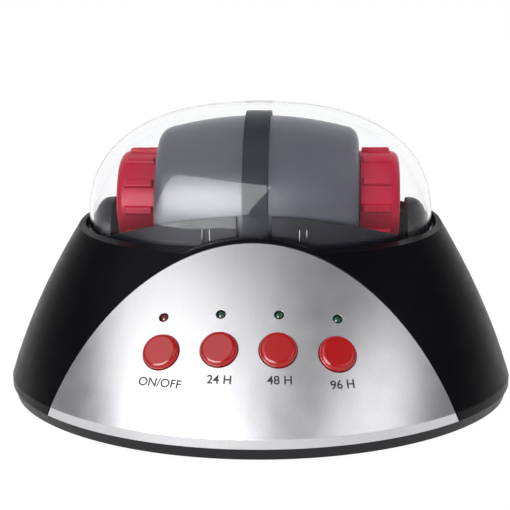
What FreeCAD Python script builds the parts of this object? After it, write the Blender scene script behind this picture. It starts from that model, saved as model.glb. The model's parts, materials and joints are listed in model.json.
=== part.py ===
import FreeCAD, Part
import math
import os

os.makedirs("parts", exist_ok=True)

# A bench-top rock tumbler: a barrel with two screw caps turns on two roller shafts in a well,
# under a clear hinged dome, on a flared body with a silver control panel.
# X runs to the right, -Y to the front, Z up. The origin is the middle of the footprint, on the table.
# All lengths are millimetres, all angles degrees, and every lean is a tangent.

# Barrel, band and caps
barrel_crown_radius = 48.3
barrel_half_length = 56.0
barrel_crown_arc = 196.0
barrel_corner_radius = 8.0
barrel_wall = 3.0
neck_radius = 22.0
neck_wall = 3.0
neck_length = 17.5
band_thickness = 3.6
band_width = 13.5
band_seat_depth = 0.6
cap_radius = 28.0
cap_end_wall = 3.0
cap_corner_radius = 4.5
cap_face_gap = 0.8
cap_thread_clearance = 0.4
cap_thread_lead = 4.0
cap_rib_count = 12
cap_rib_height = 2.2
cap_rib_width = 4.6
cap_rib_length = 15.5
cap_rib_inset = 1.0
left_cap_rib_phase = -3.0
right_cap_rib_phase = 0.0
seal_thickness = 2.0

# Roller shafts, wheels and drive
shaft_radius = 3.0
shaft_end_room = 3.0
shaft_angle = 31.0
roller_radius = 9.0
roller_width = 18.0
rolling_gap = 0.3
running_clearance = 0.05
wheel_offset = 34.0
wheel_width = 10.0
wheel_floor_gap = 1.5
bush_radius = 5.0
bush_post_offset = 50.0
bush_post_length = 8.0
bush_post_wall = 4.0
clip_radius = 5.2
clip_thickness = 1.0
clip_gap = 0.4
gear_teeth = 34
pinion_teeth = 32
gear_width = 4.5
tooth_tip = 0.9
tooth_root = 1.25
gear_backlash = 0.25
gear_wall_gap = 3.4
pressure_angle = 20.0
motor_radius = 12.5
motor_length = 56.0
motor_shaft_radius = 2.0
motor_floor_gap = 6.7
motor_offset = 9.0
motor_well_gap = 1.5
bracket_thickness = 2.0
bracket_foot = 14.0

# Well
well_wall = 2.2
well_power = 2.4
well_lip = 1.2
well_side_room = 1.6
well_draft = 3.0
well_flange = 2.4
well_fit = 0.2
guard_inset = 1.8
guard_wall = 1.4
guard_rise = 9.8
guard_arc_radius = 232.0
guard_notch = 9.5
guard_root = 6.0
guard_shelf = 2.0
pad_radius = 20.0
pad_drop = 7.8
pad_round = 9.0
pad_cap_gap = 0.7
pad_dome_gap = 1.5
pad_root = 4.0
pad_round_share = 0.9

# Dome and latch
dome_wall = 2.0
dome_end_room = 15.5
dome_side_room = 4.0
dome_headroom = 3.0
dome_power = 2.4
dome_plan_power = 2.3
dome_gap = 2.4
dome_skirt = 4.0
dome_seat_gap = 0.4
dome_swing_gap = 0.8
latch_width = 17.4
latch_slot = 0.9
latch_rise = 10.5
latch_rib_count = 5
latch_rib_height = 1.1
latch_rib_width = 1.3
latch_rib_pitch = 2.0
lug_offset = 26.0
lug_radius = 2.2
lug_height = 9.0
nub_offset = 14.6
nub_radius = 1.3

# Dome hinge
hinge_offset = 38.0
hinge_setback = 1.5
hinge_rise = 4.2
hinge_radius = 3.3
hinge_pin_radius = 1.5
hinge_knuckle_width = 5.2
hinge_ear_width = 4.0
hinge_side_gap = 0.4
hinge_depth = 8.0

# Body, rim and tray
rim_wall = 2.6
rim_drop = 10.7
rim_tilt = 6.5
body_wall = 3.6
side_lean_low = 0.29
side_lean_high = 0.62
front_lean_low = 0.70
front_lean_high = 1.06
back_lean_low = 0.25
back_lean_high = 0.45
rim_power = 2.25
base_power_x = 2.0
base_power_y = 1.7
lip_height = 5.0
tray_height = 6.0
tray_floor = 2.5
tray_wall = 3.0
tray_taper = 1.8
tray_shadow_gap = 0.5
foot_height = 2.0
foot_radius = 8.0
foot_offset_x = 88.0
foot_offset_y = 52.0

# Control panel
panel_depth = 2.2
panel_groove = 0.5
panel_trim = 1.6
panel_apex_drop = 1.7
panel_top_radius = 90.0
panel_corner_half_width = 107.0
panel_ledge = 8.0
row_arc_radius = 350.0
button_row_height = 49.6
lamp_row_height = 64.3
button_pitch = 29.5
button_radius = 9.3
button_gap = 0.5
button_proud = 3.0
button_edge_radius = 2.4
button_travel = 1.2
button_stop_gap = 0.3
button_flange = 1.4
button_flange_thickness = 1.2
button_stem_radius = 2.2
lamp_radius = 2.4
lamp_hole_gap = 0.15
lamp_length = 7.0
board_depth = 14.0
board_half_width = 62.0
board_margin = 11.0
board_thickness = 1.6
board_post_radius = 3.2
board_post_inset = 5.0
board_tip_room = 0.8
switch_size = 6.0
switch_height = 3.4
plunger_radius = 1.6
plunger_height = 0.9

# Fasteners and inlet
screw_radius = 1.5
screw_head_radius = 2.8
screw_head_height = 2.0
screw_bite = 9.0
pillar_radius = 4.5
pillar_offset_x = 24.0
pillar_offset_y = 26.0
boss_offset_y = 30.0
boss_height = 14.0
boss_overlap = 0.6
jack_radius = 5.2
jack_flange = 1.6
jack_flange_thickness = 1.5
jack_length = 15.0
jack_bore_radius = 2.8
jack_bore_depth = 9.5
jack_pin_radius = 1.0
jack_height = 24.0
jack_offset = -40.0
jack_pocket = 1.2
jack_pocket_gap = 1.4

# Numbers of spline points and levels that draw the flowing forms
outline_points = 48
skin_levels = 7
dome_levels = 9
dome_last_angle = 87.0
involute_steps = 4
depth_steps = 8

# Small reach past a face, so that a cut goes right through
past = 1.0
far = 400.0

# Heights, from the table up
tray_z = foot_height
floor_z = tray_z + tray_floor
parting_z = tray_z + tray_height
crease_z = parting_z + lip_height
motor_z = floor_z + motor_floor_gap + motor_radius
well_z = motor_z + motor_radius + motor_well_gap
well_floor_z = well_z + well_wall
band_radius = barrel_crown_radius + band_thickness - band_seat_depth
shaft_reach = band_radius + rolling_gap + roller_radius


def crown_radius_at(x):
    """Outer radius of the barrel at a place along its length, within its long arc."""
    return barrel_crown_radius - barrel_crown_arc + math.sqrt(barrel_crown_arc ** 2 - x ** 2)


wheel_radius = shaft_reach - rolling_gap - crown_radius_at(wheel_offset - wheel_width / 2)
shaft_z = well_floor_z + wheel_floor_gap + wheel_radius
shaft_dy = shaft_reach * math.sin(math.radians(shaft_angle))
barrel_z = shaft_z + shaft_reach * math.cos(math.radians(shaft_angle))
rim_z = barrel_z - rim_drop
slope_height = rim_z - crease_z

# Reaches from the barrel's axis
cap_start = barrel_half_length + cap_face_gap
neck_end = barrel_half_length + neck_length
cap_end = neck_end + seal_thickness + cap_end_wall
dome_half_width = cap_end + cap_thread_lead + dome_end_room
well_half_width = dome_half_width - dome_wall - well_lip - well_draft
post_end = bush_post_offset + bush_post_length / 2
wheel_end = wheel_offset + wheel_width / 2


def well_depth_for(x, y):
    """Half depth of the well whose outline passes through one place."""
    return y / (1 - (x / well_half_width) ** well_power) ** (1 / well_power)


wheel_reach = shaft_dy + wheel_radius + well_side_room
post_reach = shaft_dy + bush_radius + bush_post_wall + well_side_room
well_need = max(well_depth_for(wheel_end, wheel_reach), well_depth_for(post_end, post_reach))
dome_half_depth = max(band_radius + dome_side_room, well_need + well_lip + dome_wall)
well_half_depth = dome_half_depth - dome_wall - well_lip
dome_top_z = barrel_z + band_radius + dome_headroom + dome_wall
dome_height = dome_top_z - rim_z
rim_half_width = dome_half_width + dome_gap + rim_wall
rim_half_depth = dome_half_depth + dome_gap + rim_wall


def flare(lean_low, lean_high, drop):
    """How far the skin stands out of the rim at a drop below it: a lean that eases towards the base."""
    bend = (lean_high - lean_low) / (2 * slope_height)
    return lean_high * drop - bend * drop * drop


front_reach = rim_half_depth + flare(front_lean_low, front_lean_high, slope_height)
back_reach = rim_half_depth + flare(back_lean_low, back_lean_high, slope_height)
barrel_y = (front_reach - back_reach) / 2
front_shaft_y = barrel_y - shaft_dy
rear_shaft_y = barrel_y + shaft_dy
motor_y = front_shaft_y + motor_offset
gear_distance = math.hypot(motor_offset, shaft_z - motor_z)
gear_module = 2 * gear_distance / (gear_teeth + pinion_teeth)

panel_apex_z = rim_z - panel_apex_drop


def vec(x, y, z):
    return FreeCAD.Vector(x, y, z)


X_AXIS = vec(1, 0, 0)
Y_AXIS = vec(0, 1, 0)
Z_AXIS = vec(0, 0, 1)
ORIGIN = vec(0, 0, 0)


def save(name, shape):
    shape.exportStep("parts/" + name + ".step")


def moved(shape, x, y, z):
    copy = shape.copy()
    copy.translate(vec(x, y, z))
    return copy


def rod(radius, start, direction, length):
    return Part.makeCylinder(radius, length, start, direction)


def rod_x(radius, x_start, x_end, y, z):
    return rod(radius, vec(x_start, y, z), X_AXIS, x_end - x_start)


def ring_x(outer, inner, x_start, x_end, y, z):
    ring = rod_x(outer, x_start, x_end, y, z)
    return ring.cut(rod_x(inner, x_start - past, x_end + past, y, z))


def box(low, high):
    size = high - low
    return Part.makeBox(size.x, size.y, size.z, low)


def joined(shapes):
    first = shapes[0]
    if len(shapes) == 1:
        return first
    return first.fuse(shapes[1:]).removeSplitter()


def turned_x(profile, y, z):
    """A closed outline of (along X, radius) edges, turned round the X axis and put at y, z."""
    solid = Part.Face(Part.Wire(profile)).revolve(ORIGIN, X_AXIS, 360)
    return moved(solid, 0, y, z)


def line(start, end):
    return Part.LineSegment(vec(start[0], 0, start[1]), vec(end[0], 0, end[1])).toShape()


def arc(start, middle, end):
    points = [vec(p[0], 0, p[1]) for p in (start, middle, end)]
    return Part.Arc(points[0], points[1], points[2]).toShape()


# Flowing forms


def signed_power(value, power):
    return math.copysign(abs(value) ** power, value)


def outline(half_width, front, back, centre_y, power_x, power_y, z):
    """A closed level curve: a superellipse whose front and back halves may differ in depth."""
    points = []
    for step in range(outline_points):
        angle = 2 * math.pi * step / outline_points
        depth = back if math.sin(angle) > 0 else front
        x = half_width * signed_power(math.cos(angle), 2 / power_x)
        y = centre_y + depth * signed_power(math.sin(angle), 2 / power_y)
        points.append(vec(x, y, z))
    curve = Part.BSplineCurve()
    curve.interpolate(Points=points, PeriodicFlag=True)
    return Part.Wire([curve.toShape()])


def skin_sizes(z):
    """Half width, front and back depths, middle and powers of the body's skin at one height."""
    drop = rim_z - max(z, crease_z)
    share = drop / slope_height
    centre_y = barrel_y * (1 - share)
    half_width = rim_half_width + flare(side_lean_low, side_lean_high, drop)
    front_y = barrel_y - rim_half_depth - flare(front_lean_low, front_lean_high, drop)
    back_y = barrel_y + rim_half_depth + flare(back_lean_low, back_lean_high, drop)
    power_x = rim_power + (base_power_x - rim_power) * share
    power_y = rim_power + (base_power_y - rim_power) * share
    return half_width, centre_y - front_y, back_y - centre_y, centre_y, power_x, power_y


def skin_wire(z, inset):
    half_width, front, back, centre_y, power_x, power_y = skin_sizes(z)
    return outline(half_width - inset, front - inset, back - inset, centre_y, power_x, power_y, z)


skin_top_z = dome_top_z - dome_height / 2


def skin(inset, bottom_z):
    """The body's outer form, drawn in by an inset, from a height up past the rim."""
    rise = (skin_top_z - crease_z) / (skin_levels - 1)
    wires = [skin_wire(crease_z + rise * level, inset) for level in range(skin_levels)]
    slope = Part.makeLoft(wires, True, False)
    lip = Part.Face(wires[0]).extrude(vec(0, 0, bottom_z - crease_z))
    return slope.fuse(lip)


def front_point(x, z):
    """The point of the body's front skin at one place across and one height."""
    half_width, front, back, centre_y, power_x, power_y = skin_sizes(z)
    share = 1 - (abs(x) / half_width) ** power_x
    return vec(x, centre_y - front * share ** (1 / power_y), z)


def back_y(x, z):
    """Where the body's back skin lies at one place across and one height."""
    half_width, front, back, centre_y, power_x, power_y = skin_sizes(z)
    share = 1 - (abs(x) / half_width) ** power_x
    return centre_y + back * share ** (1 / power_y)


def side_x(y, z):
    """How far out the body's skin lies at one place from front to back and one height."""
    half_width, front, back, centre_y, power_x, power_y = skin_sizes(z)
    depth = back if y > centre_y else front
    share = 1 - (abs(y - centre_y) / depth) ** power_y
    return half_width * share ** (1 / power_x)


def front_normal(x, z):
    """Outward direction of the front skin, from its slopes across and up."""
    step = 0.5
    across = front_point(x + step, z) - front_point(x - step, z)
    upward = front_point(x, z + step) - front_point(x, z - step)
    normal = across.cross(upward)
    return normal.normalize()


def under_rim(drop):
    """All that lies below the tilted rim plane, let down by a drop."""
    slab = Part.makeBox(2 * far, 2 * far, far, vec(-far, -far, -far))
    slab.rotate(ORIGIN, X_AXIS, rim_tilt)
    return moved(slab, 0, barrel_y, rim_z - drop)


def rim_height(y, drop):
    return rim_z - drop + (y - barrel_y) * math.tan(math.radians(rim_tilt))


def level_prism(half_width, half_depth, z_low, z_high):
    wire = outline(half_width, half_depth, half_depth, barrel_y, dome_plan_power, dome_plan_power, z_low)
    return Part.Face(wire).extrude(vec(0, 0, z_high - z_low))


def arch_prism(grow):
    """The panel's arch seen from the front, run straight back through the body's front wall."""
    fall = panel_apex_z - parting_z
    pinch = (2 * panel_top_radius * fall - panel_corner_half_width ** 2) / fall ** 2
    tall = panel_top_radius / pinch
    wide = panel_top_radius / math.sqrt(pinch)
    y = barrel_y - front_reach - past
    centre = vec(0, y, panel_apex_z - tall)
    top = centre + vec(0, 0, tall + grow)
    side = centre + vec(wide + grow, 0, 0)
    face = Part.Face(Part.Wire([Part.Ellipse(top, side, centre).toShape()]))
    return face.extrude(vec(0, front_reach - dome_half_depth / 2, 0))


outer_skin = skin(0, parting_z)
panel_back_skin = skin(panel_depth, parting_z - past)
inner_skin = skin(body_wall, parting_z - past)


# Screws


def screw(place, direction, length):
    """A pan-head screw whose head sits on place and whose shank runs along direction."""
    head_start = place - direction * screw_head_height
    head = rod(screw_head_radius, head_start, direction, screw_head_height)
    return head.fuse(rod(screw_radius, place, direction, length)).removeSplitter()


boss_places = []
for boss_y in (-boss_offset_y, boss_offset_y):
    boss_x = side_x(boss_y, crease_z) - body_wall - pillar_radius + boss_overlap
    boss_places += [(-boss_x, boss_y), (boss_x, boss_y)]
pillar_places = [(sx * pillar_offset_x, barrel_y + sy * pillar_offset_y) for sx in (-1, 1) for sy in (-1, 1)]
foot_places = [(sx * foot_offset_x, sy * foot_offset_y) for sx in (-1, 1) for sy in (-1, 1)]
bracket_x = well_half_width + well_wall - bracket_thickness
gear_x = bracket_x + gear_wall_gap
bracket_screw_places = [(bracket_x - bracket_foot / 2, motor_y + side * motor_radius) for side in (-1, 1)]


# Base tray, feet and their screws
def make_base_tray():
    low = skin_wire(crease_z, tray_shadow_gap + tray_taper)
    low.translate(vec(0, 0, tray_z - crease_z))
    high = skin_wire(crease_z, tray_shadow_gap)
    high.translate(vec(0, 0, parting_z - crease_z))
    tray = Part.makeLoft([low, high], True, True)
    hollow_wire = skin_wire(crease_z, tray_shadow_gap + tray_taper + tray_wall)
    hollow_wire.translate(vec(0, 0, floor_z - crease_z))
    tray = tray.cut(Part.Face(hollow_wire).extrude(vec(0, 0, far)))
    added = []
    holes = []
    for x, y in pillar_places:
        added.append(rod(pillar_radius, vec(x, y, tray_z), Z_AXIS, well_z - tray_z))
        holes.append(rod(screw_radius, vec(x, y, tray_z - past), Z_AXIS, far))
        holes.append(rod(screw_head_radius, vec(x, y, tray_z - past), Z_AXIS, screw_head_height + past))
    for x, y in boss_places:
        added.append(rod(pillar_radius, vec(x, y, tray_z), Z_AXIS, tray_height))
        holes.append(rod(screw_radius, vec(x, y, tray_z - past), Z_AXIS, far))
        holes.append(rod(screw_head_radius, vec(x, y, tray_z - past), Z_AXIS, screw_head_height + past))
    for x, y in bracket_screw_places:
        added.append(rod(pillar_radius, vec(x, y, tray_z), Z_AXIS, floor_z - tray_z))
        holes.append(rod(screw_radius, vec(x, y, tray_z - past), Z_AXIS, far))
    return joined([tray] + added).cut(holes)


save("base_tray", make_base_tray())
save("rubber_feet", Part.makeCompound(
    [rod(foot_radius, vec(x, y, 0), Z_AXIS, foot_height) for x, y in foot_places]))
save("base_screws", Part.makeCompound(
    [screw(vec(x, y, tray_z + screw_head_height), Z_AXIS, tray_height - screw_head_height + screw_bite)
     for x, y in boss_places]))
save("well_screws", Part.makeCompound(
    [screw(vec(x, y, tray_z + screw_head_height), Z_AXIS, well_floor_z - tray_z - screw_head_height)
     for x, y in pillar_places]))


# Upper body
hinge_y = barrel_y + rim_half_depth - hinge_setback
hinge_z = rim_height(hinge_y, 0) + hinge_rise
seat_drop = dome_skirt + dome_seat_gap
ledge_drop = seat_drop + well_flange
deck_drop = ledge_drop + well_flange


def hinge_ear(x_middle):
    """One ear that carries a hinge pin: a round head on a root that runs down into the rim's wall."""
    wall_y = back_y(abs(x_middle) + hinge_ear_width / 2, rim_z) - rim_wall
    low = vec(x_middle - hinge_ear_width / 2, min(wall_y, hinge_y - hinge_radius), hinge_z - hinge_depth)
    high = vec(x_middle + hinge_ear_width / 2, hinge_y + hinge_radius, hinge_z)
    head = rod_x(hinge_radius, low.x, high.x, hinge_y, hinge_z)
    return box(low, high).fuse(head)


ear_step = hinge_knuckle_width / 2 + hinge_side_gap + hinge_ear_width / 2
ear_places = [side * hinge_offset + step * ear_step for side in (-1, 1) for step in (-1, 1)]
jack_seat_y = back_y(jack_offset, jack_height) - jack_pocket


def rod_y(radius, y_start, y_end):
    """A round bar along the inlet jack's axis."""
    return rod(radius, vec(jack_offset, y_start, jack_height), Y_AXIS, y_end - y_start)


def well_tub(grow, z_low):
    """The well's form, grown by a wall, from one height up past the rim."""
    wires = []
    for share in (0.0, 0.5, 1.0):
        z = z_low + (skin_top_z - z_low) * share
        width = well_half_width + grow + well_draft * (z - well_floor_z) / (rim_z - well_floor_z)
        depth = well_half_depth + grow
        wires.append(outline(width, depth, depth, barrel_y, well_power, well_power, z))
    return Part.makeLoft(wires, True, False)


dome_way = level_prism(dome_half_width + dome_gap, dome_half_depth + dome_gap, 0, far)


def make_body_shell():
    arch = arch_prism(panel_trim)
    shape = outer_skin.common(under_rim(0).fuse(arch))
    shape = shape.cut(inner_skin.common(under_rim(deck_drop)))
    bosses = [rod(pillar_radius, vec(x, y, parting_z), Z_AXIS, boss_height) for x, y in boss_places]
    middle_skin = skin(body_wall / 2, parting_z)
    bosses = [boss.common(middle_skin) for boss in bosses]
    shape = joined([shape] + bosses + [hinge_ear(x) for x in ear_places])
    recess = arch_prism(0).cut(panel_back_skin)
    window = arch_prism(-panel_ledge).common(under_rim(deck_drop))
    window = window.cut(box(vec(-far, -far, -far), vec(far, far, crease_z)))
    dome_pocket = dome_way.cut(under_rim(ledge_drop))
    well_way = well_tub(well_wall + well_fit, crease_z)
    for hollow in (recess, window, dome_pocket, well_way):
        shape = shape.cut(hollow)
    bite = screw_bite + past
    holes = [rod(screw_radius, vec(x, y, parting_z - past), Z_AXIS, bite) for x, y in boss_places]
    holes.append(rod_x(hinge_pin_radius, -far, far, hinge_y, hinge_z))
    holes.append(rod_y(jack_radius, 0, far))
    holes.append(rod_y(jack_radius + jack_flange + jack_pocket_gap, jack_seat_y, far))
    return shape.cut(holes)


save("body_shell", make_body_shell())

jack = rod_y(jack_radius, jack_seat_y - jack_length, jack_seat_y)
jack = jack.fuse(rod_y(jack_radius + jack_flange, jack_seat_y, jack_seat_y + jack_flange_thickness))
jack_mouth_y = jack_seat_y + jack_flange_thickness
jack = jack.cut(rod_y(jack_bore_radius, jack_mouth_y - jack_bore_depth, jack_mouth_y))
jack = jack.fuse(rod_y(jack_pin_radius, jack_mouth_y - jack_bore_depth, jack_mouth_y - past))
save("inlet_jack", jack.removeSplitter())


# Front panel, with the posts that carry the control board
row_middle_z = (button_row_height + lamp_row_height) / 2
board_normal = front_normal(0, row_middle_z)
board_up = vec(0, -board_normal.z, board_normal.y) * -1
board_middle = front_point(0, row_middle_z) - board_normal * board_depth
row_step = front_point(0, lamp_row_height) - front_point(0, button_row_height)
board_half_height = row_step.Length / 2 + board_margin
button_xs = [button_pitch * place for place in (-1.5, -0.5, 0.5, 1.5)]


def row_height(middle_height, x):
    return middle_height - x * x / (2 * row_arc_radius)


def board_corner(side, end):
    across = X_AXIS * (side * (board_half_width - board_post_inset))
    return board_middle + across + board_up * (end * (board_half_height - board_post_inset))


def depth_behind_front(place):
    """How far a place lies behind the front skin, along the board's outward direction."""
    depth = board_depth
    for step in range(depth_steps):
        at = place + board_normal * depth
        depth += (front_point(at.x, at.z) - at).dot(board_normal)
    return depth


board_corners = [board_corner(side, end) for side in (-1, 1) for end in (-1, 1)]
board_bite = min(depth_behind_front(place) for place in board_corners) - panel_depth - board_tip_room
lamp_hole_radius = lamp_radius + lamp_hole_gap


def along_front(x, middle_height):
    """Place and outward direction of a button or lamp on the panel."""
    z = row_height(middle_height, x)
    return front_point(x, z), front_normal(x, z)


def make_front_panel():
    sheet = outer_skin.cut(panel_back_skin).common(arch_prism(-panel_groove))
    inside = skin(panel_depth / 2, parting_z)
    posts = []
    holes = []
    for place in board_corners:
        posts.append(rod(board_post_radius, place, board_normal, board_depth).common(inside))
        holes.append(rod(screw_radius, place - board_normal * past, board_normal, board_bite + past))
    shape = joined([sheet] + posts)
    for x in button_xs:
        place, normal = along_front(x, button_row_height)
        holes.append(rod(button_radius + button_gap, place - normal * board_depth / 2, normal, board_depth))
        place, normal = along_front(x, lamp_row_height)
        holes.append(rod(lamp_hole_radius, place - normal * board_depth / 2, normal, board_depth))
    return shape.cut(holes)


save("front_panel", make_front_panel())


# Control board, switches, lamps and buttons
def board_slab(half_width, half_height, thickness, middle):
    """A flat block that lies in the board's plane, with its front face on middle."""
    corner = vec(-half_width, -half_height, -thickness)
    slab = Part.makeBox(2 * half_width, 2 * half_height, thickness, corner)
    turn = FreeCAD.Rotation(X_AXIS, board_up, board_normal, "XYZ")
    slab.Placement = FreeCAD.Placement(middle, turn)
    return slab


def on_board(place, normal):
    """Where a line from the panel along its inward direction meets the board's front face."""
    gap = (place - board_middle).dot(board_normal) / normal.dot(board_normal)
    return place - normal * gap


board = board_slab(board_half_width, board_half_height, board_thickness, board_middle)
board_holes = [rod(screw_radius, place - board_normal * board_depth, board_normal, 2 * board_depth)
               for place in board_corners]
save("control_board", board.cut(board_holes))
save("board_screws", Part.makeCompound(
    [screw(place - board_normal * board_thickness, board_normal, board_thickness + board_bite)
     for place in board_corners]))

switches = []
lamps = []
for x in button_xs:
    place, normal = along_front(x, button_row_height)
    seat = on_board(place, normal)
    top = seat + board_normal * switch_height
    body = board_slab(switch_size / 2, switch_size / 2, switch_height, top)
    switches.append(body.fuse(rod(plunger_radius, top, board_normal, plunger_height)).removeSplitter())
    place, normal = along_front(x, lamp_row_height)
    dome_centre = place - normal * lamp_radius
    lamp = rod(lamp_radius, dome_centre - normal * lamp_length, normal, lamp_length)
    lamps.append(lamp.fuse(Part.makeSphere(lamp_radius, dome_centre)).removeSplitter())
save("touch_switches", Part.makeCompound(switches))
save("power_lamp", lamps[0])
save("timer_lamps", Part.makeCompound(lamps[1:]))


def make_button(x):
    """A round button: a crowned head through the panel, a flange behind it and a stem to its switch."""
    place, normal = along_front(x, button_row_height)
    switch_top = on_board(place, normal) + board_normal * (switch_height + plunger_height)
    slant = plunger_radius * math.sin(normal.getAngle(board_normal))
    stem_end_gap = button_travel + button_stop_gap + slant
    back = panel_depth + button_stop_gap
    reach = (place - switch_top).Length - stem_end_gap
    head = rod(button_radius, place - normal * back, normal, back + button_proud)
    top = place + normal * button_proud
    rim = [edge for edge in head.Edges if edge.BoundBox.Center.distanceToPoint(top) < button_edge_radius / 2]
    head = head.makeFillet(button_edge_radius, rim)
    flange_start = place - normal * (back + button_flange_thickness)
    flange = rod(button_radius + button_gap + button_flange, flange_start, normal, button_flange_thickness)
    stem = rod(button_stem_radius, place - normal * reach, normal, reach - back)
    return joined([head, flange, stem])


button_names = ["power_button", "one_day_button", "two_day_button", "four_day_button"]
for name, x in zip(button_names, button_xs):
    save(name, make_button(x))


# Well that carries the barrel and its rollers
shaft_ys = (front_shaft_y, rear_shaft_y)
post_xs = (-post_end, bush_post_offset - bush_post_length / 2)


def make_guard():
    """The arched splash wall inside the front of the well, parted where the band and the latch pass."""
    foot_z = rim_height(barrel_y - well_half_depth, seat_drop) - guard_root
    inner = well_tub(-guard_inset - guard_wall, foot_z - past)
    wall = well_tub(-guard_inset, foot_z).cut(inner)
    shelf = well_tub(well_wall / 2, foot_z).cut(inner)
    shelf = shelf.common(box(vec(-far, -far, 0), vec(far, far, foot_z + guard_shelf)))
    arch_z = rim_z + guard_rise - guard_arc_radius
    arch = rod(guard_arc_radius, vec(0, -far, arch_z), Y_AXIS, far + barrel_y)
    notch = box(vec(-guard_notch, -far, 0), vec(guard_notch, far, far))
    return wall.fuse(shelf).common(arch).cut(notch)


def end_pad(side):
    """A rounded pad on the well's end wall, beside one cap."""
    start = cap_end + cap_thread_lead + pad_cap_gap
    end = dome_half_width - dome_wall - pad_dome_gap
    z = rim_z - pad_drop
    disc = rod_x(pad_radius, start, end, barrel_y, z)
    rim = [edge for edge in disc.Edges if edge.BoundBox.XMin > (start + end) / 2]
    disc = disc.makeFillet(min(pad_round, (end - start) * pad_round_share), rim)
    disc = disc.cut(box(vec(0, -far, 0), vec(far, far, z - pad_root)))
    if side < 0:
        disc = disc.mirror(ORIGIN, X_AXIS)
    return disc


def make_barrel_well():
    shape = well_tub(well_wall, well_z).common(under_rim(seat_drop))
    flange = level_prism(dome_half_width + dome_gap - well_fit, dome_half_depth + dome_gap - well_fit, 0, far)
    flange = flange.common(under_rim(seat_drop)).cut(under_rim(ledge_drop))
    shape = joined([shape, flange]).cut(well_tub(0, well_floor_z))
    posts = []
    holes = []
    half = bush_radius + bush_post_wall
    for y in shaft_ys:
        for x in post_xs:
            low = vec(x, y - half, well_z)
            posts.append(box(low, vec(x + bush_post_length, y + half, shaft_z)))
            posts.append(rod_x(half, x, x + bush_post_length, y, shaft_z))
            holes.append(rod_x(bush_radius, x - past, x + bush_post_length + past, y, shaft_z))
    shape = joined([shape] + posts).fuse([make_guard(), end_pad(-1), end_pad(1)])
    for x, y in pillar_places:
        holes.append(rod(screw_radius, vec(x, y, well_z - past), Z_AXIS, well_wall + 2 * past))
    holes.append(rod_x(shaft_radius + well_side_room, post_end + past, far, front_shaft_y, shaft_z))
    return shape.cut(holes)


save("barrel_well", make_barrel_well())
save("shaft_bushes", Part.makeCompound(
    [ring_x(bush_radius, shaft_radius + running_clearance, x, x + bush_post_length, y, shaft_z)
     for y in shaft_ys for x in post_xs]))


# Dome, latch and hinge pins
dome_straight = dome_half_depth * math.tan(math.radians(rim_tilt)) + dome_skirt + past


def dome_form(grow, below):
    """The dome's form, grown all round, from below its rim up to a nearly flat crown."""
    wires = []
    width = dome_half_width + grow
    depth = dome_half_depth + grow
    for drop in (dome_straight + below, dome_straight / 2):
        wires.append(outline(width, depth, depth, barrel_y, dome_plan_power, dome_plan_power, rim_z - drop))
    for level in range(dome_levels):
        angle = math.radians(dome_last_angle * level / (dome_levels - 1))
        share = math.cos(angle) ** (2 / dome_power)
        z = rim_z + (dome_height + grow) * math.sin(angle) ** (2 / dome_power)
        wires.append(outline(width * share, depth * share, depth * share, barrel_y,
                             dome_plan_power, dome_plan_power, z))
    return Part.makeLoft(wires, True, False)


def dome_reach(x):
    """Depth of the dome's outline, from the barrel's axis, at one place across."""
    return dome_half_depth * (1 - (abs(x) / dome_half_width) ** dome_plan_power) ** (1 / dome_plan_power)


dome_outside = dome_form(0, 0)
dome_inside = dome_form(-dome_wall, past)
latch_top_z = rim_z + latch_rise


def latch_window(grow):
    half = latch_width / 2 + grow
    return box(vec(-half, barrel_y - 2 * dome_half_depth, 0), vec(half, barrel_y, latch_top_z + grow))


def inner_lug(x, radius, height):
    """A small upright lug on the inside of the dome's front."""
    y = barrel_y - dome_reach(x) + dome_wall
    foot_z = rim_height(y, 0)
    return rod(radius, vec(x, y, foot_z), Z_AXIS, height).common(dome_outside)


def knuckle(x):
    """One hinge knuckle on the back of the dome, on a short arm."""
    low = x - hinge_knuckle_width / 2
    high = x + hinge_knuckle_width / 2
    arm_half = hinge_radius - past / 2
    arm_low = vec(low, barrel_y + dome_reach(x) - dome_wall, hinge_z - arm_half)
    arm = box(arm_low, vec(high, hinge_y, hinge_z + arm_half)).cut(dome_inside)
    return arm.fuse(rod_x(hinge_radius, low, high, hinge_y, hinge_z))


def back_relief():
    """What the dome's back edge loses between the hinges, so that it swings clear of the band."""
    half = hinge_offset - ear_step - hinge_ear_width / 2
    reach = math.hypot(hinge_y - barrel_y, hinge_z - barrel_z) - band_radius - dome_swing_gap
    kept = rod_x(reach, -half - past, half + past, hinge_y, hinge_z)
    return box(vec(-half, barrel_y, 0), vec(half, hinge_y, hinge_z)).cut(kept)


def make_dome_cover():
    shape = dome_outside.cut(dome_inside).cut(under_rim(dome_skirt)).cut(latch_window(latch_slot))
    shape = shape.cut(back_relief())
    added = [knuckle(side * hinge_offset) for side in (-1, 1)]
    added += [inner_lug(side * lug_offset, lug_radius, lug_height) for side in (-1, 1)]
    added += [inner_lug(side * nub_offset, nub_radius, lug_height / 2) for side in (-1, 1)]
    bore = rod_x(hinge_pin_radius + running_clearance, -far, far, hinge_y, hinge_z)
    return shape.fuse(added).cut(bore)


def make_dome_latch():
    shape = dome_outside.cut(dome_inside).cut(under_rim(dome_skirt)).common(latch_window(0))
    proud = dome_form(latch_rib_height, 0).cut(dome_form(-dome_wall / 2, past))
    ribs = []
    half = latch_width / 2 - latch_rib_width
    for index in range(latch_rib_count):
        z = latch_top_z - latch_rib_width - latch_rib_pitch * index
        low = vec(-half, barrel_y - 2 * dome_half_depth, z - latch_rib_width)
        ribs.append(proud.common(box(low, vec(half, barrel_y, z))))
    return joined([shape] + ribs)


save("dome_cover", make_dome_cover())
save("dome_latch", make_dome_latch())
pin_half = ear_step + hinge_ear_width / 2
save("hinge_pins", Part.makeCompound(
    [rod_x(hinge_pin_radius, middle - pin_half, middle + pin_half, hinge_y, hinge_z)
     for middle in (-hinge_offset, hinge_offset)]))


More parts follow.
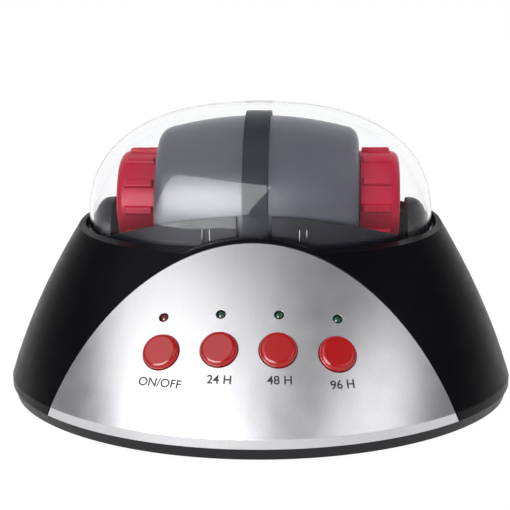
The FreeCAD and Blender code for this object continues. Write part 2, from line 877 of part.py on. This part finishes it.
# Barrel, band, caps and seals
def make_barrel():
    """A crowned barrel with a neck at each end, hollow right through."""
    crown_centre = barrel_crown_radius - barrel_crown_arc
    corner_x = barrel_half_length - barrel_corner_radius
    swing = barrel_crown_arc - barrel_corner_radius
    corner_r = crown_centre + math.sqrt(swing ** 2 - corner_x ** 2)
    stretch = barrel_crown_arc / swing
    touch = (corner_x * stretch, crown_centre + (corner_r - crown_centre) * stretch)
    turn = (math.atan2(corner_r - crown_centre, corner_x)) / 2
    middle = (corner_x + barrel_corner_radius * math.cos(turn),
              corner_r + barrel_corner_radius * math.sin(turn))
    inner_x = barrel_half_length - barrel_wall
    inner_r = crown_radius_at(inner_x) - barrel_wall
    bore = neck_radius - neck_wall

    def flip(point):
        return (-point[0], point[1])

    end = (barrel_half_length, corner_r)
    right = [end, (barrel_half_length, neck_radius), (neck_end, neck_radius), (neck_end, bore),
             (inner_x, bore), (inner_x, inner_r)]
    edges = [arc(flip(touch), (0, barrel_crown_radius), touch), arc(touch, middle, end)]
    edges += [line(a, b) for a, b in zip(right, right[1:])]
    edges.append(arc(right[-1], (0, barrel_crown_radius - barrel_wall), flip(right[-1])))
    left = [flip(point) for point in reversed(right)]
    edges += [line(a, b) for a, b in zip(left, left[1:])]
    edges.append(arc(flip(end), flip(middle), flip(touch)))
    return turned_x(edges, barrel_y, barrel_z)


band_seat = barrel_crown_radius - band_seat_depth
band = ring_x(band_radius, band_seat, -band_width / 2, band_width / 2, barrel_y, barrel_z)
save("barrel_shell", make_barrel().cut(band))
save("barrel_band", band)


def make_cap(side, rib_phase):
    """A screw cap: a ribbed cup that goes over one neck."""
    inner = neck_radius + cap_thread_clearance
    floor = neck_end + seal_thickness
    knee = cap_corner_radius * (1 - math.sqrt(0.5))
    corner = [(cap_end - cap_corner_radius, cap_radius), (cap_end - knee, cap_radius - knee),
              (cap_end, cap_radius - cap_corner_radius)]
    points = [corner[2], (cap_end, 0), (floor, 0), (floor, inner), (cap_start, inner),
              (cap_start, cap_radius), corner[0]]
    edges = [arc(corner[0], corner[1], corner[2])] + [line(a, b) for a, b in zip(points, points[1:])]
    cup = turned_x(edges, 0, 0)
    rib_start = cap_start + cap_rib_inset
    bars = []
    for index in range(cap_rib_count):
        low = vec(rib_start, -cap_rib_width / 2, cap_radius - cap_rib_height)
        bar = box(low, vec(rib_start + cap_rib_length, cap_rib_width / 2, cap_radius + cap_rib_height))
        brow = [edge for edge in bar.Edges if edge.CenterOfMass.z > cap_radius + cap_rib_height / 2]
        bar = bar.makeFillet(cap_rib_height / 2, brow)
        bar.rotate(ORIGIN, X_AXIS, 90 - rib_phase - index * 360 / cap_rib_count)
        bars.append(bar)
    cup = joined([cup] + bars)
    if side < 0:
        cup = cup.mirror(ORIGIN, X_AXIS)
    return moved(cup, 0, barrel_y, barrel_z)


save("left_cap", make_cap(-1, left_cap_rib_phase))
save("right_cap", make_cap(1, right_cap_rib_phase))
for name, x in (("left_seal", -neck_end - seal_thickness), ("right_seal", neck_end)):
    save(name, ring_x(neck_radius, neck_radius - neck_wall, x, x + seal_thickness, barrel_y, barrel_z))


# Roller shafts, wheels and clips
shaft_end = post_end + clip_gap + clip_thickness + shaft_end_room
clip_xs = (-post_end - clip_gap - clip_thickness, post_end + clip_gap)


def wheels(bore, y):
    starts = (-wheel_end, wheel_offset - wheel_width / 2)
    return Part.makeCompound([ring_x(wheel_radius, bore, x, x + wheel_width, y, shaft_z) for x in starts])


def clips(y):
    rings = [ring_x(clip_radius, shaft_radius, x, x + clip_thickness, y, shaft_z) for x in clip_xs]
    return Part.makeCompound(rings)


drive_end = gear_x + gear_width + shaft_end_room
roller_half = roller_width / 2
save("drive_shaft", rod_x(shaft_radius, -shaft_end, drive_end, front_shaft_y, shaft_z))
save("drive_roller", ring_x(roller_radius, shaft_radius, -roller_half, roller_half, front_shaft_y, shaft_z))
save("front_wheels", wheels(shaft_radius + running_clearance, front_shaft_y))
save("drive_shaft_clips", clips(front_shaft_y))
save("idler_shaft", rod_x(shaft_radius, -shaft_end, shaft_end, rear_shaft_y, shaft_z))
save("idler_wheels", wheels(shaft_radius, rear_shaft_y))
save("idler_shaft_clips", clips(rear_shaft_y))


# Gears and motor
def involute(base, radius):
    """Angle by which an involute has turned away from its base circle at a radius."""
    roll = math.sqrt(max((radius / base) ** 2 - 1, 0))
    return roll - math.atan(roll)


def gear(teeth, bore, turn, y, z):
    """A spur gear along X, with one tooth at an angle of turn from +Y towards +Z."""
    pitch = teeth * gear_module / 2
    base = pitch * math.cos(math.radians(pressure_angle))
    outer = pitch + tooth_tip * gear_module
    root = pitch - tooth_root * gear_module
    half_tooth = math.pi / (2 * teeth) - gear_backlash / (2 * pitch) + involute(base, pitch)
    start = max(base, root)
    flank = [start + (outer - start) * step / involute_steps for step in range(involute_steps + 1)]
    sides = [(root, half_tooth)] if root < base else []
    sides += [(radius, half_tooth - involute(base, radius)) for radius in flank]
    points = []
    for tooth in range(teeth):
        middle = math.radians(turn) + 2 * math.pi * tooth / teeth
        around = [(radius, middle - angle) for radius, angle in sides]
        around += [(radius, middle + angle) for radius, angle in reversed(sides)]
        points += [vec(0, r * math.cos(a), r * math.sin(a)) for r, a in around]
    face = Part.Face(Part.makePolygon(points + points[:1]))
    blank = face.extrude(vec(gear_width, 0, 0)).cut(rod_x(bore, -past, gear_width + past, 0, 0))
    return moved(blank, gear_x, y, z)


mesh_turn = math.degrees(math.atan2(motor_z - shaft_z, motor_y - front_shaft_y))
half_pitch = 180 / pinion_teeth
save("drive_gear", gear(gear_teeth, shaft_radius, mesh_turn, front_shaft_y, shaft_z))
save("motor_pinion", gear(pinion_teeth, motor_shaft_radius, mesh_turn + 180 + half_pitch, motor_y, motor_z))

motor_boss_radius = motor_shaft_radius + 2 * running_clearance + well_wall
motor_bore = motor_shaft_radius + running_clearance
motor_shaft_root = bracket_x - motor_radius
motor = rod_x(motor_radius, bracket_x - motor_length, bracket_x, motor_y, motor_z)
motor = motor.fuse(rod_x(motor_boss_radius, bracket_x, bracket_x + bracket_thickness, motor_y, motor_z))
motor = motor.cut(rod_x(motor_bore, motor_shaft_root - past, far, motor_y, motor_z)).removeSplitter()
save("motor", motor)
save("motor_shaft", rod_x(motor_shaft_radius, motor_shaft_root, gear_x + gear_width + past, motor_y, motor_z))

plate_half = motor_radius + bracket_thickness
plate = box(vec(bracket_x, motor_y - plate_half, floor_z),
            vec(bracket_x + bracket_thickness, motor_y + plate_half, motor_z + motor_radius))
plate = plate.cut(rod_x(motor_boss_radius, bracket_x - past, far, motor_y, motor_z))
foot_half = motor_radius + screw_head_radius + bracket_thickness
foot = box(vec(bracket_x - bracket_foot, motor_y - foot_half, floor_z),
           vec(bracket_x + bracket_thickness, motor_y + foot_half, floor_z + bracket_thickness))
bracket = joined([plate, foot])
save("motor_bracket", bracket.cut(
    [rod(screw_radius, vec(x, y, 0), Z_AXIS, motor_z) for x, y in bracket_screw_places]))
save("bracket_screws", Part.makeCompound(
    [screw(vec(x, y, floor_z + bracket_thickness), vec(0, 0, -1), bracket_thickness + tray_floor)
     for x, y in bracket_screw_places]))
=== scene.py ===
"""The looks of a bench-top rock tumbler: finishes, printed marks, studio and the photograph's camera."""

import json
import math

import bpy
from mathutils import Matrix, Quaternion, Vector
from mathutils.bvhtree import BVHTree


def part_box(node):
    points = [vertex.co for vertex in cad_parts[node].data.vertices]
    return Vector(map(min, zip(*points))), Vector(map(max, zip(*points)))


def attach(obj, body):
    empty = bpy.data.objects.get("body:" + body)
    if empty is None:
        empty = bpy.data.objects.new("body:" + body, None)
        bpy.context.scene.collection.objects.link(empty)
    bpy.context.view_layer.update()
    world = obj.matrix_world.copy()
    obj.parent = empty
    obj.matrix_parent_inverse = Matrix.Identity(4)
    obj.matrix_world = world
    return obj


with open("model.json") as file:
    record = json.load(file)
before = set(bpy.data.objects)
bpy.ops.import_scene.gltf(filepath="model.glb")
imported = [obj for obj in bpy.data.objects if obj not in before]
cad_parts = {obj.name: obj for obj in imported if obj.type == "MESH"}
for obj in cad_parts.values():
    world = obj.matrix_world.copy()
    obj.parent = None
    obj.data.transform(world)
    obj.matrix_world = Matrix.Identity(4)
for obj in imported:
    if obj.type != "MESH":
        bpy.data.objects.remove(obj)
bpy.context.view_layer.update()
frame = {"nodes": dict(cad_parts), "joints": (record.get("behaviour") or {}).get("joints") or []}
nodes = frame["nodes"]
MM = 0.001

# Camera, found from the photograph's base, rim and buttons
PHOTO_PIXELS = 510
SENSOR_MM = 36.0
FOCAL_PIXELS = 1171.7
CAMERA_DISTANCE = 680.4 * MM
CAMERA_AZIMUTH = 3.61
CAMERA_ELEVATION = 12.15
CAMERA_ROLL = -0.44
LOOK_AT = Vector((-3.05, 22.5, 74.8)) * MM

# Printed marks under the buttons
MARK_HEIGHT = 4.4 * MM
MARK_DROP = 15.9 * MM
MARK_LIFT = 0.08 * MM
MARK_WEIGHT = 0.09 * MM
MARK_SMOOTHNESS = 6
CAPITAL_SHARE = 0.7
MARK_START = 20 * MM
# Each button's words, and how far they stand to the right of its middle
MARKS = {
    "power_button": ("ON/OFF", 2.6 * MM),
    "one_day_button": ("24 H", 1.6 * MM),
    "two_day_button": ("48 H", 0.6 * MM),
    "four_day_button": ("96 H", 0.4 * MM),
}

# Studio glows: azimuth and elevation, the angles off them where the glow ends and is full, and its strength
STUDIO_GLOWS = [
    (-41, 48, 37, 9, 1.85),
    (52, 33, 26, 8, 1.6),
]
# Dim on the camera's side and bright behind the object, by the share of the way from front to back
STUDIO_TONES = [(0.0, (0.16, 0.16, 0.165)), (0.64, (0.13, 0.13, 0.135)), (0.9, (1, 1, 1))]
DIFFUSE_SHARE = 0.95
# The window that the dome mirrors: azimuth, elevation, distance, roll, width, height and brightness
WINDOW = (-22, 9, 0.7, -14, 0.48, 0.46, 10.5)

# Floor
FLOOR_SIZE = 12.0
FLOOR_LUMPS = 0.4
FLOOR_GLOW = 1.06
FLOOR_GLOW_SHARE = 0.92

# Shading
SHARP_ANGLE = 32.0
EDGE_RADIUS = 0.35 * MM
CLOUD_SIZE = 22 * MM
SMEAR_SIZE = 9 * MM
GLOSS_SPREAD = 0.12
GRAIN_STRENGTH = 0.35
FLAKE_SIZE = 0.16 * MM
LACQUER_SMEAR = 12 * MM
LACQUER_GRAIN = 0.3 * MM
SWIRL_SIZE = 40 * MM
SWIRL_SPREAD = 0.03
TRACK_PITCH = 24 * MM
# Lower than a real plastic's, which keeps the dome's mirrored light as faint as in the photograph
CLEAR_IOR = 1.2


# Node helpers
def add(tree, kind, **settings):
    node = tree.nodes.new(kind)
    for key, value in settings.items():
        setattr(node, key, value)
    return node


def noise(tree, size, detail=3.0, stretch=(1, 1, 1)):
    """A noise texture in the object's own space, with lumps of about one size in metres."""
    place = add(tree, "ShaderNodeTexCoord")
    mapping = add(tree, "ShaderNodeMapping")
    mapping.inputs["Scale"].default_value = [axis / size for axis in stretch]
    texture = add(tree, "ShaderNodeTexNoise")
    texture.inputs["Scale"].default_value = 1.0
    texture.inputs["Detail"].default_value = detail
    tree.links.new(place.outputs["Object"], mapping.inputs["Vector"])
    tree.links.new(mapping.outputs["Vector"], texture.inputs["Vector"])
    return texture.outputs["Fac"]


def ramp(tree, factor, stops):
    """A colour ramp through (place, colour) stops."""
    node = add(tree, "ShaderNodeValToRGB")
    elements = node.color_ramp.elements
    while len(elements) < len(stops):
        elements.new(0.5)
    for element, (place, colour) in zip(elements, stops):
        element.position = place
        element.color = (*colour, 1.0)
    tree.links.new(factor, node.inputs["Fac"])
    return node.outputs["Color"]


def spread(tree, factor, low, high):
    """A factor around one half, spread between two values."""
    node = add(tree, "ShaderNodeMapRange")
    node.inputs["From Min"].default_value = 0.3
    node.inputs["From Max"].default_value = 0.7
    node.inputs["To Min"].default_value = low
    node.inputs["To Max"].default_value = high
    tree.links.new(factor, node.inputs["Value"])
    return node.outputs["Result"]


def shade(colour, factor):
    return tuple(min(1.0, channel * factor) for channel in colour)


def surface(name, colour, roughness, grain=0.6 * MM, depth=0.02 * MM, mottle=0.06, rounded=True,
            stretch=(1, 1, 1), **sockets):
    """A moulded, cast or drawn surface: mottled colour, uneven gloss, fine grain and softened edges."""
    made = bpy.data.materials.new(name)
    made.use_nodes = True
    tree = made.node_tree
    shader = tree.nodes["Principled BSDF"]
    cloudy = noise(tree, CLOUD_SIZE)
    stops = [(0.3, shade(colour, 1 - mottle)), (0.7, shade(colour, 1 + mottle))]
    tree.links.new(ramp(tree, cloudy, stops), shader.inputs["Base Color"])
    smear = noise(tree, SMEAR_SIZE, detail=5.0)
    gloss = spread(tree, smear, roughness * (1 - GLOSS_SPREAD), roughness * (1 + GLOSS_SPREAD))
    tree.links.new(gloss, shader.inputs["Roughness"])
    bump = add(tree, "ShaderNodeBump")
    bump.inputs["Strength"].default_value = GRAIN_STRENGTH
    bump.inputs["Distance"].default_value = depth
    tree.links.new(noise(tree, grain, detail=2.0, stretch=stretch), bump.inputs["Height"])
    if rounded:
        edge = add(tree, "ShaderNodeBevel", samples=4)
        edge.inputs["Radius"].default_value = EDGE_RADIUS
        tree.links.new(edge.outputs["Normal"], bump.inputs["Normal"])
    tree.links.new(bump.outputs["Normal"], shader.inputs["Normal"])
    for socket, value in sockets.items():
        shader.inputs[socket.replace("_", " ")].default_value = value
    return made


def silver_paint():
    """Metallic lacquer: tiny flakes in the colour and the gloss, over a smooth moulding."""
    made = bpy.data.materials.new("silver_paint")
    made.use_nodes = True
    tree = made.node_tree
    shader = tree.nodes["Principled BSDF"]
    flakes = add(tree, "ShaderNodeTexVoronoi")
    flakes.inputs["Scale"].default_value = 1 / FLAKE_SIZE
    place = add(tree, "ShaderNodeTexCoord")
    tree.links.new(place.outputs["Object"], flakes.inputs["Vector"])
    tones = [(0.1, (0.56, 0.56, 0.585)), (0.9, (0.70, 0.70, 0.725))]
    tree.links.new(ramp(tree, flakes.outputs["Color"], tones), shader.inputs["Base Color"])
    gloss = spread(tree, noise(tree, LACQUER_SMEAR, detail=4.0), 0.29, 0.34)
    tree.links.new(gloss, shader.inputs["Roughness"])
    bump = add(tree, "ShaderNodeBump")
    bump.inputs["Strength"].default_value = 0.12
    bump.inputs["Distance"].default_value = 0.01 * MM
    tree.links.new(noise(tree, LACQUER_GRAIN), bump.inputs["Height"])
    edge = add(tree, "ShaderNodeBevel", samples=4)
    edge.inputs["Radius"].default_value = EDGE_RADIUS
    tree.links.new(edge.outputs["Normal"], bump.inputs["Normal"])
    tree.links.new(bump.outputs["Normal"], shader.inputs["Normal"])
    shader.inputs["Metallic"].default_value = 0.85
    return made


def clear_plastic(name, tint, haze):
    """Clear moulded plastic with a faint swirl in its gloss."""
    made = bpy.data.materials.new(name)
    made.use_nodes = True
    tree = made.node_tree
    shader = tree.nodes["Principled BSDF"]
    shader.inputs["Base Color"].default_value = (*tint, 1.0)
    shader.inputs["Transmission Weight"].default_value = 1.0
    shader.inputs["IOR"].default_value = CLEAR_IOR
    swirl = spread(tree, noise(tree, SWIRL_SIZE), haze, haze + SWIRL_SPREAD)
    tree.links.new(swirl, shader.inputs["Roughness"])
    return made


def circuit_board():
    """Green solder mask with lighter tracks."""
    made = surface("circuit_board", (0.012, 0.12, 0.035), 0.4, rounded=False)
    tree = made.node_tree
    shader = tree.nodes["Principled BSDF"]
    tracks = add(tree, "ShaderNodeTexBrick")
    tracks.inputs["Scale"].default_value = 1 / TRACK_PITCH
    tracks.inputs["Color1"].default_value = (0.010, 0.11, 0.03, 1)
    tracks.inputs["Color2"].default_value = (0.014, 0.13, 0.04, 1)
    tracks.inputs["Mortar"].default_value = (0.05, 0.26, 0.08, 1)
    place = add(tree, "ShaderNodeTexCoord")
    tree.links.new(place.outputs["Object"], tracks.inputs["Vector"])
    tree.links.new(tracks.outputs["Color"], shader.inputs["Base Color"])
    return made


def lamp_lens(name, colour):
    """Dyed clear resin, deep in colour, with a bright wet gloss."""
    return surface(name, colour, 0.12, depth=0.004 * MM, mottle=0.2, rounded=False,
                   Transmission_Weight=0.35, Coat_Weight=0.6)


black_gloss = surface("black_gloss", (0.0040, 0.0036, 0.0052), 0.34, grain=0.5 * MM, depth=0.006 * MM,
                      Specular_IOR_Level=0.07)
FINISHES = {
    "base_tray": surface("base_black", (0.016, 0.0145, 0.018), 0.42, grain=0.7 * MM, Specular_IOR_Level=0.25),
    "body_shell": black_gloss,
    "barrel_well": surface("well_black", (0.009, 0.009, 0.016), 0.42, Specular_IOR_Level=0.2),
    "front_panel": silver_paint(),
    "dome_cover": clear_plastic("dome_clear", (0.985, 0.988, 0.995), 0.0),
    "dome_latch": clear_plastic("latch_clear", (0.92, 0.93, 0.97), 0.1),
    "barrel_shell": surface("barrel_slate", (0.100, 0.106, 0.140), 0.34, depth=0.01 * MM, mottle=0.05),
    "barrel_band": surface("band_rubber", (0.004, 0.005, 0.012), 0.55, grain=0.9 * MM, depth=0.05 * MM,
                           Specular_IOR_Level=0.2),
    "left_cap": surface("cap_red", (0.72, 0.012, 0.060), 0.34, depth=0.012 * MM, Specular_IOR_Level=0.15),
    "power_lamp": lamp_lens("lamp_red", (0.30, 0.008, 0.015)),
    "timer_lamps": lamp_lens("lamp_green", (0.004, 0.11, 0.045)),
    "power_button": surface("button_red", (0.64, 0.004, 0.008), 0.3, depth=0.005 * MM, mottle=0.03,
                            Specular_IOR_Level=0.1, Coat_Weight=0.8, Coat_Roughness=0.08),
    "rubber_feet": surface("foot_rubber", (0.018, 0.018, 0.019), 0.7, grain=0.8 * MM, depth=0.08 * MM),
    "inlet_jack": surface("jack_black", (0.012, 0.012, 0.013), 0.45),
    "control_board": circuit_board(),
    "touch_switches": surface("switch_black", (0.02, 0.02, 0.021), 0.4),
    "base_screws": surface("screw_zinc", (0.55, 0.55, 0.56), 0.3, stretch=(1, 6, 1), Metallic=1.0),
    "drive_shaft": surface("shaft_steel", (0.60, 0.60, 0.62), 0.22, stretch=(8, 1, 1), Metallic=1.0),
    "shaft_bushes": surface("bush_bronze", (0.48, 0.30, 0.12), 0.38, Metallic=1.0),
    "drive_gear": surface("gear_nylon", (0.72, 0.71, 0.66), 0.45, Subsurface_Weight=0.05),
    "motor": surface("motor_zinc", (0.50, 0.51, 0.53), 0.36, stretch=(1, 5, 5), Metallic=1.0),
    "drive_roller": surface("roller_rubber", (0.014, 0.014, 0.015), 0.62, grain=1.2 * MM, depth=0.1 * MM),
    "front_wheels": surface("wheel_black", (0.020, 0.020, 0.022), 0.5),
    "left_seal": surface("seal_rubber", (0.03, 0.03, 0.032), 0.6, depth=0.04 * MM),
}
SAME_FINISH = {
    "right_cap": "left_cap",
    "right_seal": "left_seal",
    "one_day_button": "power_button",
    "two_day_button": "power_button",
    "four_day_button": "power_button",
    "well_screws": "base_screws",
    "board_screws": "base_screws",
    "bracket_screws": "base_screws",
    "hinge_pins": "drive_shaft",
    "idler_shaft": "drive_shaft",
    "motor_shaft": "drive_shaft",
    "drive_shaft_clips": "base_screws",
    "idler_shaft_clips": "base_screws",
    "idler_wheels": "front_wheels",
    "motor_pinion": "drive_gear",
    "motor_bracket": "motor",
}


def dress_nodes():
    """Gives every solid its finish, with smooth shading between its real edges."""
    for name, node in nodes.items():
        finish = FINISHES[SAME_FINISH.get(name, name)]
        node.data.materials.clear()
        node.data.materials.append(finish)
        node.data.shade_smooth()
        node.data.set_sharp_from_angle(angle=math.radians(SHARP_ANGLE))
    for name in ("dome_cover", "dome_latch"):
        nodes[name].visible_shadow = False
        nodes[name].visible_diffuse = False


# Printed marks
def panel_tree():
    mesh = nodes["front_panel"].data
    mesh.calc_loop_triangles()
    corners = [vertex.co.copy() for vertex in mesh.vertices]
    triangles = [tuple(triangle.vertices) for triangle in mesh.loop_triangles]
    return BVHTree.FromPolygons(corners, triangles)


def printed_mark(button, words, shift, tree, ink):
    """A word printed on the panel below one button, laid on the panel's own curve."""
    low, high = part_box(button)
    middle = (low + high) / 2
    joint = next(j for j in frame["joints"] if j["child"] == button + "_body")
    outward = -Vector(joint["axis"])
    across = Vector((0, 0, 1)).cross(outward).normalized()
    if across.x < 0:
        across = -across
    upward = outward.cross(across)
    if upward.z < 0:
        upward = -upward
    curve = bpy.data.curves.new(button + "_mark_words", "FONT")
    curve.body = words
    curve.align_x = "CENTER"
    curve.align_y = "CENTER"
    curve.size = MARK_HEIGHT / CAPITAL_SHARE
    curve.offset = MARK_WEIGHT
    curve.resolution_u = MARK_SMOOTHNESS
    flat = bpy.data.objects.new("flat_words", curve)
    bpy.context.scene.collection.objects.link(flat)
    bpy.context.view_layer.update()
    drawn = flat.evaluated_get(bpy.context.evaluated_depsgraph_get())
    mesh = bpy.data.meshes.new_from_object(drawn)
    bpy.data.objects.remove(flat)
    centre = middle - upward * MARK_DROP + across * shift + outward * MARK_START
    for vertex in mesh.vertices:
        start = centre + across * vertex.co.x + upward * vertex.co.y
        place, normal, index, distance = tree.ray_cast(start, -outward)
        vertex.co = place + outward * MARK_LIFT
    mesh.name = button + "_mark"
    mesh.materials.append(ink)
    mark = bpy.data.objects.new(button + "_mark", mesh)
    bpy.context.scene.collection.objects.link(mark)
    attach(mark, "base")


def print_marks():
    ink = surface("printed_ink", (0.02, 0.02, 0.024), 0.55, rounded=False)
    tree = panel_tree()
    for button, (words, shift) in MARKS.items():
        printed_mark(button, words, shift, tree, ink)


# Studio
def make_camera():
    azimuth = math.radians(CAMERA_AZIMUTH)
    elevation = math.radians(CAMERA_ELEVATION)
    roll = math.radians(CAMERA_ROLL)
    flat = math.cos(elevation)
    back = Vector((math.sin(azimuth) * flat, -math.cos(azimuth) * flat, math.sin(elevation)))
    level = Vector((math.cos(azimuth), math.sin(azimuth), 0))
    rise = back.cross(level)
    right = level * math.cos(roll) + rise * math.sin(roll)
    up = back.cross(right)
    data = bpy.data.cameras.new("photo_camera")
    data.sensor_width = SENSOR_MM
    data.lens = FOCAL_PIXELS * SENSOR_MM / PHOTO_PIXELS
    camera = bpy.data.objects.new("photo_camera", data)
    turn = Matrix((right, up, back)).transposed().to_4x4()
    camera.matrix_world = Matrix.Translation(LOOK_AT + back * CAMERA_DISTANCE) @ turn
    bpy.context.scene.collection.objects.link(camera)
    bpy.context.scene.camera = camera


def softbox(name, azimuth, elevation, distance, roll, width, height, radiance):
    """A rectangular lamp that faces the object from one direction and shows in its gloss alone."""
    data = bpy.data.lights.new(name, "AREA")
    data.shape = "RECTANGLE"
    data.size = width
    data.size_y = height
    data.energy = radiance * math.pi * width * height
    outward = toward(azimuth, elevation)
    lamp = bpy.data.objects.new(name, data)
    lamp.location = LOOK_AT + outward * distance
    lamp.visible_diffuse = False
    lamp.rotation_mode = "QUATERNION"
    lamp.rotation_quaternion = outward.to_track_quat("Z", "Y") @ Quaternion((0, 0, 1), math.radians(roll))
    bpy.context.scene.collection.objects.link(lamp)


def toward(azimuth, elevation):
    """A direction from the object: azimuth to the right of the front, elevation above the floor."""
    turn = math.radians(azimuth)
    rise = math.radians(elevation)
    return Vector((math.sin(turn) * math.cos(rise), -math.cos(turn) * math.cos(rise), math.sin(rise)))


def seen_by(tree, kinds):
    """One for rays of the named kinds, else nought."""
    path = add(tree, "ShaderNodeLightPath")
    total = path.outputs[kinds[0]]
    for kind in kinds[1:]:
        either = add(tree, "ShaderNodeMath", operation="MAXIMUM")
        tree.links.new(total, either.inputs[0])
        tree.links.new(path.outputs[kind], either.inputs[1])
        total = either.outputs["Value"]
    return total


def glow(tree, direction, azimuth, elevation, wide, narrow, strength):
    """A soft bright patch of the studio round one direction, full within one angle and gone past another."""
    facing = add(tree, "ShaderNodeVectorMath", operation="DOT_PRODUCT")
    facing.inputs[1].default_value = toward(azimuth, elevation)
    tree.links.new(direction, facing.inputs[0])
    patch = add(tree, "ShaderNodeMapRange", interpolation_type="SMOOTHSTEP")
    patch.inputs["From Min"].default_value = math.cos(math.radians(wide))
    patch.inputs["From Max"].default_value = math.cos(math.radians(narrow))
    patch.inputs["To Max"].default_value = strength
    tree.links.new(facing.outputs["Value"], patch.inputs["Value"])
    return patch.outputs["Result"]


def make_world():
    """White where the camera sees past the object; a studio with glows, brighter behind, to its surfaces."""
    world = bpy.data.worlds.new("studio")
    world.use_nodes = True
    bpy.context.scene.world = world
    tree = world.node_tree
    studio = tree.nodes["Background"]
    place = add(tree, "ShaderNodeTexCoord").outputs["Generated"]
    split = add(tree, "ShaderNodeSeparateXYZ")
    tree.links.new(place, split.inputs["Vector"])
    depth = add(tree, "ShaderNodeMapRange")
    depth.inputs["From Min"].default_value = -1.0
    tree.links.new(split.outputs["Y"], depth.inputs["Value"])
    total = ramp(tree, depth.outputs["Result"], STUDIO_TONES)
    for patch in STUDIO_GLOWS:
        both = add(tree, "ShaderNodeVectorMath", operation="ADD")
        tree.links.new(total, both.inputs[0])
        tree.links.new(glow(tree, place, *patch), both.inputs[1])
        total = both.outputs["Vector"]
    tree.links.new(total, studio.inputs["Color"])
    level = add(tree, "ShaderNodeMapRange")
    level.inputs["To Min"].default_value = 1.0
    level.inputs["To Max"].default_value = DIFFUSE_SHARE
    tree.links.new(seen_by(tree, ["Is Diffuse Ray"]), level.inputs["Value"])
    tree.links.new(level.outputs["Result"], studio.inputs["Strength"])
    white = add(tree, "ShaderNodeBackground")
    white.inputs["Color"].default_value = (1, 1, 1, 1)
    blend = add(tree, "ShaderNodeMixShader")
    tree.links.new(seen_by(tree, ["Is Camera Ray", "Is Transmission Ray"]), blend.inputs["Fac"])
    tree.links.new(studio.outputs["Background"], blend.inputs[1])
    tree.links.new(white.outputs["Background"], blend.inputs[2])
    tree.links.new(blend.outputs["Shader"], tree.nodes["World Output"].inputs["Surface"])


def make_floor():
    """A wide pale floor that stays white to the camera and in gloss, and keeps a faint shadow."""
    bpy.ops.mesh.primitive_plane_add(size=FLOOR_SIZE)
    floor = bpy.context.object
    floor.name = "floor"
    made = bpy.data.materials.new("floor_white")
    made.use_nodes = True
    tree = made.node_tree
    shader = tree.nodes["Principled BSDF"]
    tones = [(0.3, (0.90, 0.90, 0.90)), (0.7, (0.93, 0.93, 0.93))]
    tree.links.new(ramp(tree, noise(tree, FLOOR_LUMPS), tones), shader.inputs["Base Color"])
    shader.inputs["Roughness"].default_value = 0.9
    white = add(tree, "ShaderNodeEmission")
    white.inputs["Strength"].default_value = FLOOR_GLOW
    blend = add(tree, "ShaderNodeMixShader")
    share = add(tree, "ShaderNodeMath", operation="MULTIPLY")
    share.inputs[1].default_value = FLOOR_GLOW_SHARE
    tree.links.new(seen_by(tree, ["Is Camera Ray", "Is Transmission Ray", "Is Glossy Ray"]), share.inputs[0])
    tree.links.new(share.outputs["Value"], blend.inputs["Fac"])
    tree.links.new(shader.outputs["BSDF"], blend.inputs[1])
    tree.links.new(white.outputs["Emission"], blend.inputs[2])
    tree.links.new(blend.outputs["Shader"], tree.nodes["Material Output"].inputs["Surface"])
    floor.data.materials.append(made)


dress_nodes()
print_marks()
make_floor()
softbox("window", *WINDOW)
make_world()
make_camera()
bpy.context.scene.view_settings.view_transform = "Standard"
